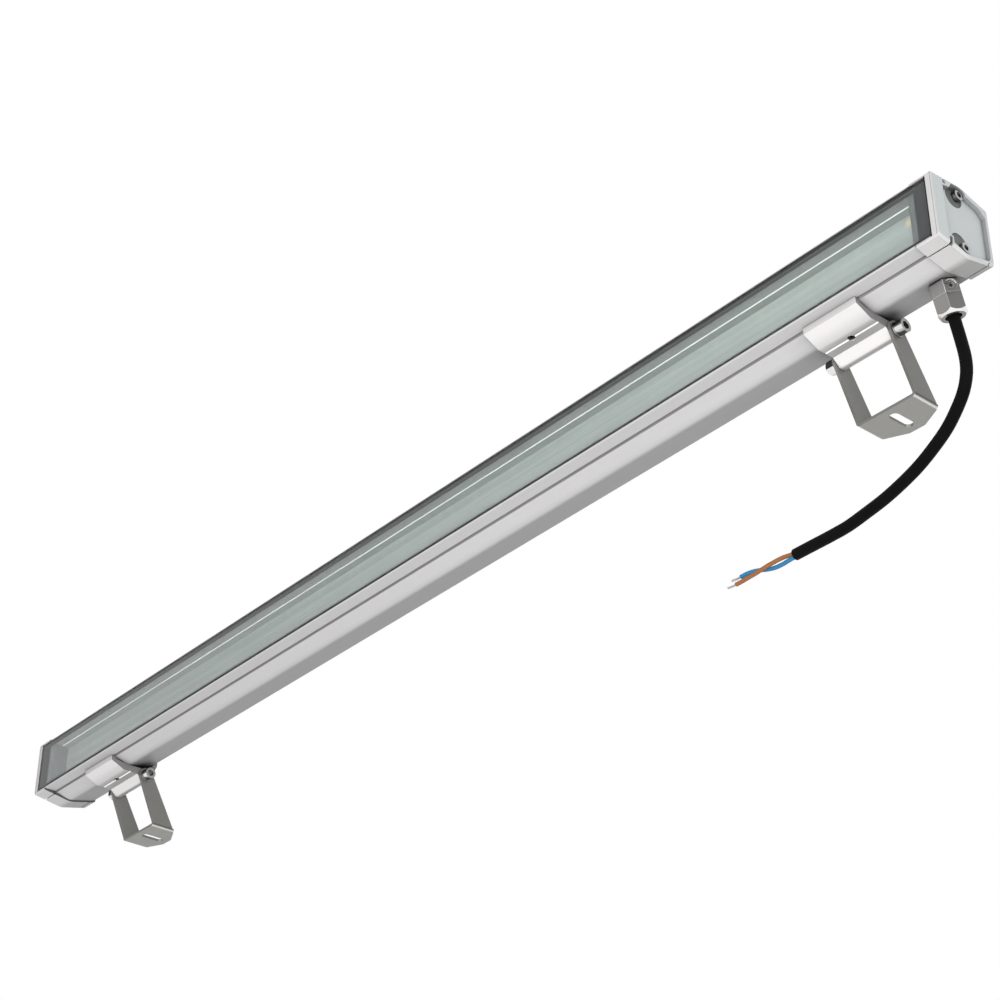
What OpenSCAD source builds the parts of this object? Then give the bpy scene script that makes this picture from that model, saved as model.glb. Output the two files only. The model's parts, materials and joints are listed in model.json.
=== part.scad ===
// Outdoor wall washer light on two tilting brackets, in millimetres.
// X runs along the lamp, Y from the glass to the back, Z up.
// Origin: midway between the slots of the two feet, on their underside.

/* [Lamp body] */
// Length of the front opening between the two end caps
opening_l = 1000; // [700:20:1200]
// Half height of the housing at its front edge
front_half = 22.6; // [22:0.1:23.5]
// Half height where the tapering side starts, behind the groove
side_half = 23.3; // [23:0.1:24.2]
// Height of the widest place below the middle, before its edge is rounded
bend_half = 26.9; // [26:0.1:29]
// Height of the back wall below the middle
back_half = 20.4; // [19.5:0.1:21.5]
// Height of the widest place above the middle, before its edge is rounded
top_bend_half = 24.7; // [24.4:0.1:27]
// Height of the back wall above the middle
top_back_half = 18.6; // [18.4:0.1:20.4]
// Depth of the widest place behind the glass front
bend_y = 25.2; // [24:0.1:26]
// Depth of the housing from front to back
body_depth = 49.5; // [48:0.5:54]
// Rounding of the widest edge
bend_r = 15; // [8:1:18]
// Rounding of the back corners
back_r = 1.5; // [0.5:0.1:3]
// Thickness of the housing wall
wall = 2.4; // [2:0.1:2.8]
// Thickness of the web that carries the boards
web_t = 2; // [1.5:0.1:2.5]
// Depth of the front face of the web behind the glass front
web_y = 28.6; // [28.2:0.1:29]
// Thickness of the lip beside the glass
lip_t = 1.2; // [0.8:0.1:1.4]
// Chamfer on the outer edge of the lip
lip_chamfer = 0.5; // [0.2:0.1:0.7]

/* [Clip grooves] */
// Depth of the front wall of the groove behind the glass front
groove_y = 10.2; // [10:0.1:10.6]
// Width of the groove at its mouth
groove_w = 2; // [1.7:0.1:2.3]
// Depth of the groove
groove_d = 1.5; // [1.2:0.1:1.6]
// Undercut of the groove towards the front
groove_lean = 0.8; // [0.4:0.1:1]
// Distance of the back groove from the middle of the back wall
back_groove_z = 15.6; // [14.5:0.1:16]

/* [Glass] */
// Thickness of the front glass
glass_t = 5; // [4:0.1:5.4]
// Width of the black seal line round the glass
seal_w = 0.7; // [0.5:0.1:1]
// Thickness of the seal behind the glass
seal_bed = 0.5; // [0.4:0.1:0.7]
// Width of the printed border along the long sides
border_side = 3.1; // [2.5:0.1:4]
// Width of the printed border at the ends
border_end = 10.5; // [8:0.5:13]
// Thickness of the printed border
border_t = 0.15; // [0.1:0.05:0.2]

/* [Optics and electronics] */
// Thickness of the frosted optic plate
optic_t = 1.2; // [1:0.1:1.2]
// Half height of the frosted optic plate
optic_half = 18.5; // [17.5:0.1:18.6]
// Depth of the optic plate behind the glass front
optic_y = 19.5; // [19:0.1:19.7]
// Thickness of the rails that hold the optic plate
rail_t = 1.7; // [1.4:0.1:1.9]
// Length of each end baffle
baffle_l = 15; // [12:0.5:20]
// Thickness of an LED board
board_t = 1.6; // [1.2:0.1:1.8]
// Height of an LED board
board_h = 27; // [22:1:28]
// Distance from one LED to the next
led_pitch = 40; // [30:1:60]
// Side of an LED
led_w = 5; // [3:0.5:6]
// Height of an LED above its board
led_t = 1; // [0.7:0.1:1.2]
// Length of the driver
driver_l = 260; // [200:10:300]
// Height of the driver
driver_h = 30; // [24:1:32]
// Space between the driver and the back wall
driver_gap = 3.5; // [3:0.5:6]

/* [End caps] */
// Thickness of the end wall
cap_t = 5; // [4.6:0.1:6]
// Length of the skirt over the housing
skirt_l = 11; // [8:0.5:14]
// Thickness of the skirt
skirt_t = 1; // [0.8:0.1:1.4]
// Thickness of the cap gasket
gasket_t = 1; // [0.6:0.1:1.4]
// Share of the end wall's thickness that the panel in the end face takes
recess_share = 0.64; // [0.5:0.02:0.66]
// Share that the two screw pockets take below that panel
pocket_share = 0.14; // [0.06:0.02:0.18]
// Radius of the screw pockets
pocket_r = 7.3; // [7:0.1:7.6]
// Chamfer round the end face
cap_chamfer = 1.5; // [1:0.1:1.7]
// Height of the two cap screws above and below the middle
port_z = 19.6; // [19.2:0.1:19.7]
// Depth of the cap screws behind the glass front
port_y = 26; // [25.8:0.1:26.2]

/* [Cable gland] */
// Distance of the gland from the end of the front opening
gland_inset = 24; // [22:0.5:40]
// Depth of the gland behind the glass front
gland_y = 38.5; // [38.2:0.1:39]
// Width across the flats of the gland
gland_af = 17; // [16.6:0.2:20]
// Height of the gland collar
collar_h = 9.5; // [7:0.5:10]
// Height of the gland nut
gland_nut_h = 12.5; // [12:0.5:16]
// Diameter of the gland thread in the housing
gland_thread = 14.8; // [13.5:0.1:15.2]
// Diameter of the cable
cable_d = 7.5; // [7:0.1:8]
// Diameter of each core
core_d = 2.8; // [2:0.1:2.8]
// Diameter of the bare end of a core
strand_d = 1.6; // [1:0.1:2]

/* [Clips] */
// Distance of each clip's middle from its end of the front opening
clip_inset = 87; // [80:1:200]
// Length of a clip along the lamp
clip_l = 42; // [36:1:50]
// Drop of the clip's flat underside below the widest place of the housing
clip_drop = 5.6; // [5:0.1:7]
// Thickness of the leg behind the housing
leg_t = 3; // [2.5:0.1:4]
// Radius of the round barrel
barrel_r = 5.2; // [5:0.1:5.6]
// Distance of the pivot line in front of the back wall's outer face
pivot_inset = 7.5; // [6.5:0.5:8.5]
// Diameter of the set screw
set_screw_d = 5; // [4:0.5:6]

/* [Brackets] */
// Height of the pivot line above the underside of the feet
pivot_h = 42; // [39:0.5:60]
// Distance of the slots behind the pivot line
slot_back = 25; // [23:0.5:28]
// Thickness of the bracket sheet
sheet_t = 2; // [1.6:0.1:2.6]
// Outer radius of the two bends
bend_out_r = 3; // [3:0.1:4.5]
// Radius of the arm's top round the bolt
arm_r = 6.5; // [6:0.1:7.5]
// Slant of the front edge of the arms, in degrees
arm_front_slant = 24.5; // [20:0.5:26]
// Slant of the back edge of the arms, in degrees
arm_back_slant = 29.5; // [27:0.5:33]
// Depth of the foot from its front edge to its back edge
foot_d = 29; // [28:0.5:34]
// Width of the foot at its back edge
tail_w = 12; // [8:1:20]
// Width of the slot
slot_w = 6.5; // [5:0.1:7.5]
// Length of the slot
slot_l = 19; // [12:0.5:20]

/* [Fasteners] */
// Diameter of the pivot bolt
bolt_d = 5; // [4:0.5:6]
// Diameter of the pivot bolt's head
bolt_head_d = 9.5; // [8:0.5:10]
// Height of the pivot bolt's head
bolt_head_h = 6; // [4:0.5:7]
// Width across the flats of the pivot nut
nut_af = 9; // [8:0.5:10]
// Height of the pivot nut
nut_h = 6.5; // [4:0.5:8]
// Length of the bolt beyond its nut
bolt_tip = 1; // [0.5:0.5:3]
// Diameter of the washers on the pivot bolt
washer_d = 10; // [9:0.5:12]
// Thickness of the washers
washer_t = 1; // [0.8:0.1:1.6]
// Diameter of an end cap screw
cap_screw_d = 4; // [3.5:0.1:4]
// Diameter of an end cap screw's head
cap_head_d = 7; // [6.5:0.1:7.5]

/* [Hidden] */

$fn = 48;

// One overrun for every cut
over = 1;
// Clearances between pieces
fit_gap = 0.1;
running_gap = 0.05;
loose_gap = 0.15;
seat_gap = 0.2;

// Steps of the rounded corners in the outlines
bend_steps = 10;
corner_steps = 5;

// Places that follow from the driving sizes
opening_half = opening_l / 2;
pivot_y = body_depth - pivot_inset;
front_y = -slot_back - pivot_y;
pivot_drop = bend_half + clip_drop;
centre_z = pivot_h + pivot_drop;
rear_slope = atan((bend_half - back_half) / (body_depth - bend_y));
front_slope = atan((bend_half - side_half) / (bend_y - groove_y - groove_w));
wall_rise = wall / cos(rear_slope);
bend_top = bend_half - bend_r * (1 / cos((front_slope + rear_slope) / 2) - 1);
profile_l = opening_l - 2 * gasket_t;
glass_back = glass_t + border_t;
bed_y = glass_back + seal_bed;
lip_half = front_half - lip_t;
glass_half = lip_half - seal_w;
glass_l = opening_l - 2 * seal_w;
ledge_w = 1.8;
ledge_half = lip_half - ledge_w;
ledge_end_y = groove_y + groove_w + groove_d + fit_gap;

// Screw ports for the end caps
port_r = 3.5;
port_bore_r = cap_screw_d / 2 - 0.35;
port_bridge_w = 4;

// Optic frame
rail_inner = optic_half + fit_gap;
rail_outer = rail_inner + rail_t;
rail_y = ledge_end_y + fit_gap;
shelf_y = optic_y + optic_t + fit_gap;
shelf_t = 1.3;
shelf_half = optic_half - 3;
frame_end = opening_half - gasket_t - baffle_l - seat_gap - fit_gap;
frame_bar = 12;

// Boards and LEDs
board_end_gap = 0.5;
board_half_l = frame_end - board_end_gap;
board_y = web_y - board_t;
led_count = floor((board_half_l - led_pitch / 2 - led_w) / led_pitch) + 1;
board_screw_d = 3;
board_screw_head = 5.5;
board_screw_head_h = 1.6;
link_l = 14;
link_h = 7;
link_t = 3;

// Driver, terminal block and the space behind the web
rear_y = web_y + web_t;
driver_inset = 260;
driver_x = opening_half - driver_inset;
driver_d = body_depth - wall - rear_y - driver_gap;
driver_ear = 12;
driver_ear_t = 1.5;
terminal_inset = 78;
terminal_x = opening_half - terminal_inset;
terminal_l = 22;
terminal_h = 16;
terminal_step = 1;
terminal_d = driver_d - terminal_step;
lead_d = 2;
lead_hole_r = 4;
lead_hole_gap = 14;
lead_hole_x = driver_x - driver_l / 2 - driver_ear - lead_hole_gap;

// Gland
gland_x = opening_half - gland_inset;
gland_bore_r = cable_d / 2 + fit_gap;
gland_stub = wall + 0.6;
oring_t = 0.8;
oring_r = gland_thread / 2 + 0.8;
nut_hex_share = 0.8;
nut_top_share = 0.86;
nut_tip_share = 0.88;
nut_mouth_r = cable_d / 2 + 1.4;
nut_cavity_r = gland_thread / 2 - 0.9;
nut_lip_t = 1.5;
lock_angle = 30;
lock_pocket_r = 3.6;
lock_pocket_d = 1;
lock_screw_r = 2;
lock_screw_l = 3.2;
lock_key_r = 1.1;
gland_h = collar_h + gland_nut_h;
inner_cable_l = gland_h + wall + 3;

// End caps
notch_w = groove_w + 0.8;
notch_d = 3;
notch_wall = 0.9;
rim_front = 9.5;
rim_front_drop = 4.8;
rim_back = 2.5;
rim_top = 3.6;
rim_low = 0.8;
rim_corner = 4.5;
rim_low_corner = 3;
back_notch_w = 0.9;
back_notch_inset = 4.3;
back_notch_d = 0.3;
pocket_shift_y = 3.2;
pocket_shift_z = 2.3;
recess_d = recess_share * cap_t;
pocket_d = pocket_share * cap_t;
seat_share = 0.06;
seat_d = seat_share * cap_t;
cap_seat_r = 4.3;
cap_head_h = 3;
cap_screw_l = 14;
key_share = 0.3;
key_depth_share = 0.55;

// Clips
clip_front_y = groove_y - 1.8;
clip_lip_drop = 4.4;
facet_y = bend_y - 4.2;
relief_w = 0.6;
relief_d = 1.4;
relief_back = 7.5;
relief_slope_d = 2.6;
mark_y = bend_y + 2.3;
mark_w = 1.3;
mark_d = 0.7;
barrel_blend_y = pivot_y - 7.6;
set_screw_sink = 0.8;
leg_overlap = 2;

// Brackets and the pivot
arm_gap = clip_l + 2 * loose_gap;
bracket_w = arm_gap + 2 * sheet_t;
bend_in_r = bend_out_r - sheet_t;
bore_r = bolt_d / 2 + running_gap;
arm_hole_r = bolt_d / 2 + loose_gap;
clip_x = opening_half - clip_inset;

// Colours
aluminium = [0.80, 0.80, 0.81];
cap_grey = [0.74, 0.76, 0.76];
steel = [0.55, 0.55, 0.52];
nickel = [0.70, 0.70, 0.70];
black = [0.05, 0.05, 0.05];
dark = [0.20, 0.20, 0.21];
white = [0.92, 0.92, 0.90];

// The cable's route in the row frame, chosen by hand; the first point is the mouth of the gland
gland_dir = [0, sin(rear_slope), -cos(rear_slope)];
gland_foot = [gland_x, front_y + gland_y, centre_z - side_at(gland_y)];
gland_mouth = gland_foot + gland_h * gland_dir;
cable_rest = [[476, -19, 15], [476, -17, 4], [474, -15, -5], [469, -13, -14], [461, -11, -22],
    [451, -9, -29.5], [439, -7.5, -36], [426, -6, -41.5], [412, -5, -46], [397, -4, -49.5],
    [382, -3.5, -52], [367, -3, -54], [353, -3, -54.5], [339, -3, -54.5], [324, -3, -54.5]];
cable_route = concat([gland_mouth, gland_mouth + (cable_d - over) * gland_dir], cable_rest);
brown_route = [[324, -3, -53], [320.5, -3, -53], [317, -3.3, -52.6], [313.5, -3.7, -52.5],
    [310, -4.1, -52.7], [306.5, -4.4, -53], [303, -4.7, -53.3], [299.5, -4.8, -53.7],
    [296, -4.8, -54], [292.5, -4.6, -54.2], [289, -4.4, -54.2], [285.5, -4.1, -54.1],
    [282, -3.7, -54], [278, -3.5, -54], [274, -3.5, -54]];
blue_route = [[324, -3, -56], [320.5, -3, -56], [317, -2.7, -56], [313.5, -2.3, -55.9],
    [310, -2, -55.7], [306.5, -1.8, -55.3], [303, -1.7, -54.6], [299.5, -1.6, -53.6],
    [296, -1.6, -52.4], [292.5, -1.8, -51.2], [289, -2.2, -50.4], [286, -2.6, -50.1],
    [283, -3, -50], [280.5, -3, -50], [278, -3, -50]];
brown_strand_route = [[274, -3.5, -54], [270.5, -3.5, -54], [266.5, -3.5, -53.4]];
blue_strand_route = [[278, -3, -50], [274, -3, -50], [270, -3, -49.5]];

// A vector at unit length
function unit(v) = v / norm(v);

// Points of an arc of radius r that rounds corner b between a and c
function round_corner(a, b, c, r, steps) =
    let (u = unit(a - b), w = unit(c - b), half = acos(u * w) / 2,
         middle = b + unit(u + w) * r / sin(half),
         start = b + u * r / tan(half) - middle, stop = b + w * r / tan(half) - middle)
    [for (i = [0:steps]) middle + r * unit(start * (1 - i / steps) + stop * i / steps)];

// Height of the outer side at depth y, below and above the middle
function side_at(y, widest = bend_half, rear = back_half) = y < bend_y
    ? side_half + (y - groove_y - groove_w) * (widest - side_half) / (bend_y - groove_y - groove_w)
    : widest - (y - bend_y) * (widest - rear) / (body_depth - bend_y);
function top_at(y) = side_at(y, top_bend_half, top_back_half);

// One half of the outer outline, grown outward by g
function half_outline(g, widest, rear) = let (
        side = [groove_y + groove_w, side_half + g],
        bend = [bend_y, widest + g],
        back = [body_depth + g, rear + g],
        middle = [body_depth + g, 0])
    concat([[0, front_half + g - lip_chamfer], [lip_chamfer, front_half + g],
            [groove_y + groove_w, front_half + g], side],
        round_corner(side, bend, back, bend_r, bend_steps),
        round_corner(bend, back, middle, back_r + g, corner_steps));

// Points in reverse order, mirrored to below the middle
function mirrored(p) = [for (i = [len(p) - 1:-1:0]) [p[i][0], -p[i][1]]];

// The whole outer outline, grown outward by g
function outline(g) = concat(half_outline(g, top_bend_half, top_back_half),
    mirrored(half_outline(g, bend_half, back_half)));

// Places a lamp piece: depth behind the glass front and height from the middle of the section
module in_lamp() translate([0, front_y, centre_z]) children();

// Extrudes a section of depth and height along X, from x0 to x1
module along_x(x0, x1) translate([x0, 0, 0]) rotate([90, 0, 90]) linear_extrude(x1 - x0) children();

// A round bar along X
module bar_x(x0, x1, r) translate([x0, 0, 0]) rotate([0, 90, 0]) cylinder(r = r, h = x1 - x0);

// Copies a shape to both heights of the section
module above_and_below() {
    children();
    mirror([0, 1]) children();
}

// A tube swept through a list of points, with rings square to the route
module swept_tube(route, d, sides) {
    last = len(route) - 1;
    ahead = [for (i = [0:last]) unit(route[min(i + 1, last)] - route[max(i - 1, 0)])];
    across = [for (t = ahead) unit(cross(t, abs(t[1]) < 0.9 ? [0, 1, 0] : [1, 0, 0]))];
    beside = [for (i = [0:last]) cross(ahead[i], across[i])];
    rings = [for (i = [0:last]) for (k = [0:sides - 1])
        route[i] + d / 2 * (cos(360 * k / sides) * across[i] + sin(360 * k / sides) * beside[i])];
    skin = [for (i = [0:last - 1]) for (k = [0:sides - 1])
        let (n = (k + 1) % sides)
        [i * sides + k, i * sides + n, (i + 1) * sides + n, (i + 1) * sides + k]];
    start = [for (k = [sides - 1:-1:0]) k];
    stop = [for (k = [0:sides - 1]) last * sides + k];
    polyhedron(rings, concat([start], skin, [stop]));
}

// A screw with a round head and a hexagonal key, head up, its head's underside at zero
module socket_screw(d, l, head_d, head_h) {
    difference() {
        union() {
            translate([0, 0, -l]) cylinder(d = d, h = l);
            cylinder(d = head_d, h = head_h);
        }
        translate([0, 0, head_h * (1 - key_depth_share)])
            cylinder(r = head_d * key_share, h = head_h, $fn = 6);
    }
}

// Housing

module groove_cut() polygon([
    [groove_y, front_half + over],
    [groove_y, front_half],
    [groove_y - groove_lean, front_half - groove_d],
    [groove_y + groove_w, front_half - groove_d],
    [groove_y + groove_w, front_half + over]]);

module back_groove_cut() translate([body_depth - groove_d, back_groove_z - groove_w / 2])
    square([groove_d + over, groove_w]);

module front_chamber() polygon(concat(
    [for (y = [ledge_end_y, bend_y, web_y]) [y, top_at(y) - wall_rise]],
    [for (y = [web_y, bend_y, ledge_end_y]) [y, wall_rise - side_at(y)]]));

module rear_chamber() difference() {
    polygon(concat(
        [for (y = [rear_y, body_depth - wall]) [y, top_at(y) - wall_rise]],
        [for (y = [body_depth - wall, rear_y]) [y, wall_rise - side_at(y)]]));
    above_and_below() translate([body_depth - wall - groove_d, back_groove_z - groove_w / 2 - wall])
        square([groove_d + wall, groove_w + 2 * wall]);
}

module screw_port(side) {
    translate([port_y, port_z]) circle(r = port_r);
    translate([port_y - port_bridge_w / 2, port_z])
        square([port_bridge_w, side - wall_rise / 2 - port_z]);
}

module screw_ports() {
    screw_port(top_at(port_y));
    mirror([0, 1]) screw_port(side_at(port_y));
}

module profile_section() difference() {
    polygon(outline(0));
    translate([-over, -lip_half]) square([bed_y + over, 2 * lip_half]);
    translate([0, -ledge_half]) square([ledge_end_y + over, 2 * ledge_half]);
    front_chamber();
    rear_chamber();
    above_and_below() groove_cut();
    above_and_below() back_groove_cut();
}

module at_gland() translate(gland_foot) rotate([180 + rear_slope, 0, 0]) children();

module housing_profile() color(aluminium) difference() {
    in_lamp() {
        along_x(-profile_l / 2, profile_l / 2) profile_section();
        along_x(-profile_l / 2, profile_l / 2) screw_ports();
    }
    in_lamp() cap_screw_places() bar_x(-profile_l / 2 - over, profile_l / 2 + over, port_bore_r);
    at_gland() translate([0, 0, -wall - over])
        cylinder(d = gland_thread + 2 * running_gap, h = wall + 2 * over);
    in_lamp() translate([lead_hole_x, rear_y + over, 0]) rotate([90, 0, 0])
        cylinder(r = lead_hole_r, h = web_t + 2 * over);
    in_lamp() for (x = board_screw_places, s = [-1, 1]) translate([s * x, rear_y + over, 0])
        rotate([90, 0, 0]) cylinder(d = board_screw_d + 2 * running_gap, h = web_t + 2 * over);
    in_lamp() for (s = [-1, 1]) translate([driver_x + s * (driver_l + driver_ear) / 2, rear_y + over, 0])
        rotate([90, 0, 0]) cylinder(d = board_screw_d + 2 * running_gap, h = web_t + 2 * over);
}

// Glass

module front_glass() color([0.85, 0.93, 0.92, 0.3]) in_lamp()
    translate([-glass_l / 2, 0, -glass_half]) cube([glass_l, glass_t, 2 * glass_half]);

module glass_border() color(dark) in_lamp() difference() {
    translate([-glass_l / 2, glass_t, -glass_half]) cube([glass_l, border_t, 2 * glass_half]);
    translate([-glass_l / 2 + border_end, glass_t - over, -glass_half + border_side])
        cube([glass_l - 2 * border_end, border_t + 2 * over, 2 * (glass_half - border_side)]);
}

module glass_seal() color(black) in_lamp() difference() {
    translate([-opening_half, seal_bed / 2, -lip_half])
        cube([opening_l, bed_y - seal_bed / 2, 2 * lip_half]);
    translate([-glass_l / 2, -over, -glass_half]) cube([glass_l, glass_back + over, 2 * glass_half]);
    translate([-glass_l / 2 + ledge_w, -over, -ledge_half])
        cube([glass_l - 2 * ledge_w, bed_y + 2 * over, 2 * ledge_half]);
}

// Optics

module rail_section() {
    translate([rail_y, rail_inner]) square([shelf_y + shelf_t - rail_y, rail_t]);
    translate([shelf_y, shelf_half]) square([shelf_t, rail_outer - shelf_half]);
}

module optic_frame() color(white) in_lamp() {
    along_x(-frame_end, frame_end) above_and_below() rail_section();
    for (x = [-frame_end, frame_end - frame_bar])
        translate([x, shelf_y, -rail_outer]) cube([frame_bar, shelf_t, 2 * rail_outer]);
}

module optic_plate() color([0.66, 0.73, 0.71, 0.9]) in_lamp()
    translate([-frame_end, optic_y, -optic_half]) cube([2 * frame_end, optic_t, 2 * optic_half]);

module baffle() in_lamp() translate([frame_end + seat_gap, bed_y + seat_gap, -ledge_half + seat_gap])
    cube([baffle_l, shelf_y + shelf_t - bed_y - seat_gap, 2 * (ledge_half - seat_gap)]);

module left_baffle() color([0.45, 0.46, 0.46]) mirror([1, 0, 0]) baffle();
module right_baffle() color([0.45, 0.46, 0.46]) baffle();

// Boards, LEDs and their screws

board_screw_places = [for (i = [0:3]) led_pitch * (1 + i * floor((led_count - 1) / 3))];

module led_board() difference() {
    in_lamp() translate([board_end_gap, board_y, -board_h / 2])
        cube([board_half_l - board_end_gap, board_t, board_h]);
    in_lamp() for (x = board_screw_places) translate([x, web_y + over, 0]) rotate([90, 0, 0])
        cylinder(d = board_screw_d + 2 * running_gap, h = board_t + 2 * over);
}

module left_led_board() color(white) mirror([1, 0, 0]) led_board();
module right_led_board() color(white) led_board();

module led_row() in_lamp() for (i = [0:led_count - 1])
    translate([led_pitch * (i + 0.5) - led_w / 2, board_y - led_t, -led_w / 2])
        cube([led_w, led_t, led_w]);

module left_leds() color([0.95, 0.85, 0.45]) mirror([1, 0, 0]) led_row();
module right_leds() color([0.95, 0.85, 0.45]) led_row();

module web_screw(head_y) translate([0, head_y, 0]) rotate([90, 0, 0])
    socket_screw(board_screw_d, web_y + web_t - head_y, board_screw_head, board_screw_head_h);

module board_screws() color(nickel) in_lamp()
    for (x = board_screw_places, s = [-1, 1]) translate([s * x, 0, 0]) web_screw(board_y);

module board_link() color(white) in_lamp()
    translate([-link_l / 2, board_y - link_t, -link_h / 2]) cube([link_l, link_t, link_h]);

// Driver and wiring behind the web

module driver() color([0.30, 0.31, 0.33]) in_lamp() difference() {
    union() {
        translate([driver_x - driver_l / 2, rear_y, -driver_h / 2]) cube([driver_l, driver_d, driver_h]);
        translate([driver_x - driver_l / 2 - driver_ear, rear_y, -driver_h / 4])
            cube([driver_l + 2 * driver_ear, driver_ear_t, driver_h / 2]);
    }
    for (s = [-1, 1]) translate([driver_x + s * (driver_l + driver_ear) / 2, rear_y - over, 0])
        rotate([-90, 0, 0]) cylinder(d = board_screw_d + 2 * running_gap, h = driver_ear_t + 2 * over);
}

module driver_screws() color(nickel) in_lamp() for (s = [-1, 1])
    translate([driver_x + s * (driver_l + driver_ear) / 2, rear_y + driver_ear_t, 0]) rotate([-90, 0, 0])
        socket_screw(board_screw_d, driver_ear_t + web_t, board_screw_head, board_screw_head_h);

module terminal_block() color(white) in_lamp() difference() {
    translate([terminal_x - terminal_l / 2, rear_y, -terminal_h / 2])
        cube([terminal_l, terminal_d, terminal_h]);
    for (s = [-1, 1]) translate([0, rear_y + terminal_d / 2, s * terminal_h / 4])
        bar_x(terminal_x - terminal_l, terminal_x + terminal_l, lead_d / 2 + fit_gap);
}

lead_y = rear_y + terminal_d / 2;
inner_end = [gland_x, gland_y, -side_at(gland_y)] + (gland_h - inner_cable_l - running_gap) * gland_dir;
module inner_leads() color([0.55, 0.35, 0.20]) in_lamp() for (s = [-1, 1]) {
    z = s * terminal_h / 4;
    swept_tube([[terminal_x + terminal_l / 4, lead_y, z], [terminal_x + terminal_l, lead_y, z],
        [gland_x - cable_d, lead_y, z - lead_d], inner_end + [s * cable_d / 4, 0, 0] - cable_d * gland_dir,
        inner_end + [s * cable_d / 4, 0, 0]], lead_d, 8);
    swept_tube([[terminal_x - terminal_l / 4, lead_y, z], [terminal_x - terminal_l, lead_y, z],
        [driver_x + driver_l / 2 + driver_ear, rear_y + driver_d / 2 + lead_d, z],
        [driver_x + driver_l / 2 + running_gap, rear_y + driver_d / 2 + lead_d, z]], lead_d, 8);
    swept_tube([[driver_x - driver_l / 2 - running_gap, rear_y + driver_d / 2, z / 2],
        [lead_hole_x + lead_hole_r + lead_d, rear_y + driver_d / 2, z / 2],
        [lead_hole_x, rear_y + lead_d, z / 2], [lead_hole_x, web_y + running_gap, z / 2]], lead_d, 8);
}

// End caps, drawn for the right end

module cap_screw_places() for (s = [-1, 1]) translate([0, port_y, s * port_z]) children();

skirt_x = opening_half - gasket_t - skirt_l;
face_x = opening_half + cap_t;
cap_seat_x = face_x - recess_d - pocket_d - seat_d;

module cap_shell() hull() {
    along_x(skirt_x, face_x - cap_chamfer) polygon(outline(skirt_t + fit_gap));
    along_x(opening_half, face_x) polygon(outline(skirt_t + fit_gap - cap_chamfer));
}

// Panel in the end face; its lower edge is cut along the outline afterwards
panel_y = groove_y + (groove_w + notch_w) / 2 + notch_wall;
panel_end = body_depth - rim_back;
panel_side = front_half - rim_front_drop;
module face_panel() polygon([
    [rim_front, panel_side],
    [panel_y, panel_side + notch_wall],
    [bend_y, top_bend_half - rim_top],
    [panel_end - rim_corner, top_at(panel_end - rim_corner) - rim_top],
    [panel_end, top_at(panel_end - rim_corner) - rim_top - rim_corner],
    [panel_end, rim_low_corner - back_half],
    [panel_end - rim_low_corner, -side_at(panel_end - rim_low_corner)],
    [panel_end - rim_low_corner, -bend_half],
    [panel_y, -bend_half],
    [panel_y, -panel_side - notch_wall],
    [rim_front, -panel_side]]);

// The screws sit off the middle of their pockets
module pocket_places() for (s = [-1, 1])
    translate([0, port_y - pocket_shift_y, s * (port_z - pocket_shift_z)]) children();

// Notch through the cap in line with the clip groove
module cap_notch() translate([groove_y + (groove_w - notch_w) / 2, front_half - notch_d])
    square([notch_w, notch_d + side_half - front_half + skirt_t + over]);

// Narrow notch beside the back corner
module back_notch(side) translate([body_depth - back_notch_inset - back_notch_w / 2, side - back_notch_d])
    square([back_notch_w, back_notch_d + skirt_t + over]);

module end_cap() in_lamp() difference() {
    cap_shell();
    along_x(skirt_x - over, opening_half) polygon(outline(fit_gap));
    along_x(skirt_x - over, opening_half) translate([-over, -lip_half])
        square([over + bed_y, 2 * lip_half]);
    along_x(skirt_x - over, face_x + over) above_and_below() cap_notch();
    along_x(skirt_x - over, face_x + over) back_notch(top_at(body_depth - back_notch_inset));
    along_x(skirt_x - over, face_x + over) mirror([0, 1])
        back_notch(side_at(body_depth - back_notch_inset));
    cap_screw_places() bar_x(opening_half - over, face_x + over, cap_screw_d / 2 + loose_gap);
    intersection() {
        union() {
            along_x(face_x - recess_d, face_x + over) face_panel();
            pocket_places() bar_x(face_x - recess_d - pocket_d, face_x + over, pocket_r);
            cap_screw_places() bar_x(cap_seat_x, face_x + over, cap_seat_r);
        }
        along_x(opening_half, face_x + 2 * over) polygon(outline(-rim_low));
    }
}

module cap_gasket() in_lamp() difference() {
    along_x(opening_half - gasket_t, opening_half) difference() {
        polygon(outline(-skirt_t / 2));
        translate([-over, -lip_half]) square([bed_y + over, 2 * lip_half]);
        translate([0, -ledge_half]) square([ledge_end_y + over, 2 * ledge_half]);
        difference() {
            front_chamber();
            screw_ports();
        }
        rear_chamber();
        above_and_below() groove_cut();
        above_and_below() back_groove_cut();
    }
    cap_screw_places()
        bar_x(opening_half - gasket_t - over, opening_half + over, cap_screw_d / 2 + loose_gap);
}

module cap_screws() in_lamp() cap_screw_places()
    translate([cap_seat_x, 0, 0]) rotate([0, 90, 0])
        socket_screw(2 * port_bore_r - 2 * running_gap, cap_screw_l, cap_head_d, cap_head_h);

module left_end_cap() color(cap_grey) mirror([1, 0, 0]) end_cap();
module right_end_cap() color(cap_grey) end_cap();
module left_cap_gasket() color(dark) mirror([1, 0, 0]) cap_gasket();
module right_cap_gasket() color(dark) cap_gasket();
module left_cap_screws() color(steel) mirror([1, 0, 0]) cap_screws();
module right_cap_screws() color(steel) cap_screws();

// Cable gland: zero is the housing's surface, and the height grows away from it

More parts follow.
